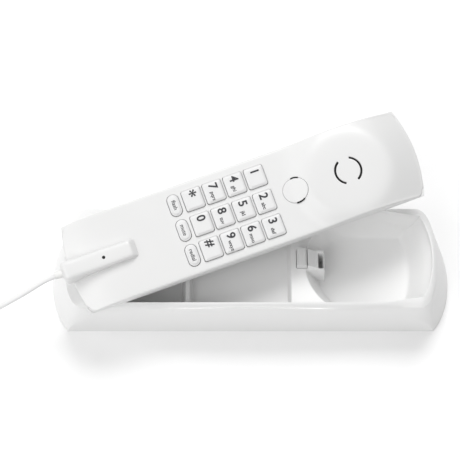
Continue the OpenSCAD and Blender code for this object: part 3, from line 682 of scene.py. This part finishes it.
def printed(name, words, body):
    """Words as (text, x, y, size, weight, z), z a hair above the cap: each becomes a flat mesh that
    reads across the handset, with its top towards the earpiece."""
    vertices, faces = [], []
    for text, x, y, size, weight, z in words:
        curve = bpy.data.curves.new(name, "FONT")
        curve.body = text
        curve.align_x = "CENTER"
        curve.align_y = "CENTER"
        curve.size = size
        curve.offset = weight
        curve.resolution_u = 4
        holder = bpy.data.objects.new(name, curve)
        flat = bpy.data.meshes.new_from_object(holder)
        p = np.empty(len(flat.vertices) * 3)
        flat.vertices.foreach_get("co", p)
        p = p.reshape(-1, 3)
        start = sum(len(q) for q in vertices)
        vertices.append(level(np.stack([x + p[:, 1], y - p[:, 0]], 1), z))
        faces += [[start + i for i in f.vertices] for f in flat.polygons]
        bpy.data.objects.remove(holder)
        bpy.data.curves.remove(curve)
        bpy.data.meshes.remove(flat)
    dress(add_mesh(name, on_handset(np.vstack(vertices)), faces), ink, body)


letters = {"2": "abc", "3": "def", "4": "ghi", "5": "jkl", "6": "mno", "7": "pqrs", "8": "tuv", "9": "wxyz"}
signs = {"star": "*", "hash": "#"}
key_top, oval_top, rib_top, cap_bottom = 1.6, 0.9, 1.35, -3.0
print_z = key_top + 0.03
for name, (x, y) in key_places.items():
    outline = rect_loop(x, y, key_l / 2, key_w / 2, 1.2, n=7)
    vertices, faces = cap_shape(outline, key_top, cap_bottom, 1.2, -0.1)
    cap = add_mesh("cap_" + name, on_handset(vertices), faces, sharp=60)
    dress(cap, key_white, "key_" + name)
    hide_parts("key_" + name)
    shift, size = (-1.2, 9.5) if name == "star" else (0.2, 7.0)
    words = [(signs.get(name, name), x + shift, y + 3.1, size, 0.16, print_z)]
    if name in letters:
        words.append((letters[name], x - 1.3, y - 2.4, 3.0, 0.05, print_z))
    printed("print_" + name, words, "key_" + name)
for name, (x, y) in oval_places.items():
    outline = rect_loop(x, y, oval_l / 2, oval_w / 2, 3.25, n=14)
    vertices, faces = cap_shape(outline, oval_top, cap_bottom, 0.5, 0.0)
    raised = rect_loop(x, y, oval_l / 2 - 0.9, oval_w / 2 - 0.9, 2.35, n=14)
    more, more_faces = cap_shape(raised, rib_top, 0.6, 0.35, 0.0)
    faces = faces + [[i + len(vertices) for i in f] for f in more_faces]
    cap = add_mesh("cap_" + name, on_handset(np.vstack([vertices, more])), faces, sharp=60)
    dress(cap, key_white, "key_" + name)
    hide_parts("key_" + name)
    printed("print_" + name, [(name, x - 0.1, y, 3.2, 0.05, rib_top + 0.04)], "key_" + name)

# ================= Hook button =================
# A round push button in white ABS that sits in the foot of the earpiece and follows its slope,
# a little proud of it. Two short slits on its flanks are the gaps beside its guide lugs, drawn as near-black
# strips: painted shade.
button_proud, button_edge, button_bottom = 0.45, 0.6, -2.6
pocket_r, pocket_top = 4.65, -0.9


def button_shape(u, v):
    """Disc in polar form, u from the middle to the rim, down its side, in to the spring's pocket and
    up that; the top follows the face's own height, a little above it, with a round edge."""
    a = 2 * np.pi * v
    radius = np.where(u > 1.07, pocket_r, hook_r * np.minimum(u, 1.0))
    x = hook_x + radius * np.cos(a)
    y = radius * np.sin(a)
    edge = np.clip((radius - hook_r + button_edge) / button_edge, 0, 1)
    top = face_height(x, y) + button_proud - button_proud * (1 - np.sqrt(1 - edge ** 2))
    return np.stack([x, y, np.where(u > 1.12, pocket_top, np.where(u > 1, button_bottom, top))], axis=-1)


u = np.concatenate([np.linspace(0.02, 0.9, 14), np.linspace(0.915, 1.0, 8), [1.05, 1.1, 1.15]])
uu, vv = np.meshgrid(u, np.linspace(0, 1, 96, endpoint=False), indexing="ij")
button_grid = button_shape(uu, vv)
rows, columns = uu.shape
button_faces = [f[::-1] for f in grid_faces(rows, columns, closed=True)]
button_faces += [list(range(columns)), list(range((rows - 1) * columns, rows * columns))[::-1]]
button = add_mesh("hook_push_button", on_handset(button_grid.reshape(-1, 3)), button_faces, sharp=60)
dress(button, handset_white, "hook_button")
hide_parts("hook_button")
# Each slit is a near-black strip standing through the face, painted shade for the dark gap beside a lug
slits = {"slit_back": ((-0.5, 7.15), (3.6, 6.2)), "slit_front": ((-1.5, -7.0), (3.3, -6.35))}
for name, ((x0, y0), (x1, y1)) in slits.items():
    n = 12
    t = np.linspace(0, 1, n)
    line = np.stack([hook_x + x0 + (x1 - x0) * t, y0 + (y1 - y0) * t], 1)
    line[:, 1] *= 1 + 0.06 * np.sin(np.pi * t)
    half_wide = np.array([0, 0.42])
    top = np.vstack([line + half_wide, line - half_wide])
    z = face_height(top[:, 0], top[:, 1])
    slit_vertices = np.vstack([level(top, z + 0.5), level(top, z - 1.5)])
    strip = [[i, i + 1, i + n + 1, i + n] for i in range(n - 1)]
    slit_faces = [f[::-1] for f in strip] + [[i + 2 * n for i in f] for f in strip]
    ring = list(range(n)) + list(range(2 * n - 1, n - 1, -1))
    after = ring[1:] + ring[:1]
    slit_faces += [[i, k, k + 2 * n, i + 2 * n] for i, k in zip(ring, after)]
    slit = add_mesh(name, on_handset(slit_vertices), slit_faces)
    dress(slit, bpy.data.materials["hole_painted_shade"], "handset")

# ================= Other pieces that stay as the CAD made them =================
# Screws, feet, plate, plug and everything inside the handset: the exact CAD solids, each in a
# finish of its own real material.


def metal(name, colour, roughness, grain=400):
    """Turned or pressed metal: full metallic, with a faint mottle in its roughness."""
    material = plastic(name, colour, roughness, grain=grain, bump=0.03, mottle=0.08)
    material.node_tree.nodes["Principled BSDF"].inputs["Metallic"].default_value = 1
    return material


finishes = {
    "housing_white": base_white,
    "button_white": handset_white,
    "key_grey": key_white,
    "steel": metal("steel", (0.62, 0.62, 0.62), 0.3),
    "rubber_dark": plastic("rubber_dark", (0.045, 0.045, 0.045), 0.75, grain=500, bump=0.15),
    "rubber_white": plastic("rubber_white", (0.78, 0.78, 0.77), 0.6, grain=500, bump=0.1),
    "silicone_mat": plastic("silicone_mat", (0.5, 0.5, 0.5), 0.6, grain=400, bump=0.08),
    "board_green": plastic("board_green", (0.02, 0.13, 0.05), 0.4, grain=700, bump=0.05),
    "chip_black": plastic("chip_black", (0.02, 0.02, 0.02), 0.5, grain=900, bump=0.1),
    "capacitor_sleeve": plastic("capacitor_sleeve", (0.02, 0.03, 0.12), 0.35),
    "capsule_black": plastic("capsule_black", (0.03, 0.03, 0.03), 0.55),
    "mic_can": metal("mic_can", (0.7, 0.7, 0.7), 0.25),
    "ringer_brass": metal("ringer_brass", (0.72, 0.52, 0.22), 0.3),
    "switch_black": plastic("switch_black", (0.025, 0.025, 0.025), 0.5),
    "lead_insulation": plastic("lead_insulation", (0.4, 0.03, 0.03), 0.45),
    "cord_white": cord_material,
    "tie_wire": plastic("tie_wire", (0.05, 0.05, 0.05), 0.5),
    "contact_gold": metal("contact_gold", (0.83, 0.62, 0.2), 0.2),
}
clear = plastic("plug_clear", (0.75, 0.78, 0.8), 0.15, bump=0.01, mottle=0.03)
clear.node_tree.nodes["Principled BSDF"].inputs["Transmission Weight"].default_value = 0.85
finishes["plug_clear"] = clear
for part in frame["record"]["subparts"]:
    node = frame["nodes"][part["node"]]
    node.data.materials.clear()
    node.data.materials.append(finishes[part["material_slot"]])

# ================= Hook button's spring =================
# A coil of steel wire on the circuit board, 3.6 turns with flat ends,
# that pushes the hook button up.
spring_turns, spring_r, wire_r = 3.6, 3.4, 0.29
t = np.linspace(0, 1, 181)
a = 2 * np.pi * spring_turns * t
spring_z = -4.95 + 3.72 * smoothstep((t - 0.08) / 0.84) ** 0.9
spring_line = np.column_stack([hook_x + spring_r * np.cos(a), spring_r * np.sin(a), spring_z])
spring_vertices, spring_faces = tube(on_handset(spring_line), wire_r, sides=12)
spring = add_mesh("return_spring", spring_vertices, spring_faces, sharp=60)
dress(spring, finishes["steel"], "handset")
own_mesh(spring)
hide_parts("hook_spring")

# ================= Studio =================
# A plain white sheet of paper under the telephone, a large soft light above and behind it, a
# weaker one at the front left and a faint one on the left, and an even white surround.
half = 2500
floor = add_mesh("floor", [(-half, -half, 0), (half, -half, 0), (half, half, 0), (-half, half, 0)],
                 [(0, 1, 2, 3)])
floor.data.materials.append(plastic("paper", (0.98, 0.98, 0.98), 0.85, grain=300, bump=0.02, mottle=0.03))


def soft_light(name, place, target, size, power):
    """A square area light at the place in millimetres, facing the target."""
    lamp = bpy.data.lights.new(name, "AREA")
    lamp.size = size * MM
    lamp.energy = power
    holder = bpy.data.objects.new(name, lamp)
    holder.location = Vector(place) * MM
    holder.rotation_euler = ((Vector(target) - Vector(place)) * MM).to_track_quat("-Z", "Y").to_euler()
    scene.collection.objects.link(holder)


soft_light("key_light", (60, 620, 1100), (0, 0, 20), 620, 9.3)
soft_light("left_light", (-900, -100, 700), (0, 0, 20), 700, 2)
soft_light("front_light", (-520, -760, 900), (0, 0, 20), 800, 5.5)
world = bpy.data.worlds.new("surround")
world.use_nodes = True
world.node_tree.nodes["Background"].inputs["Color"].default_value = (1, 1, 1, 1)
world.node_tree.nodes["Background"].inputs["Strength"].default_value = 0.42
scene.world = world
scene.view_settings.view_transform = "Standard"
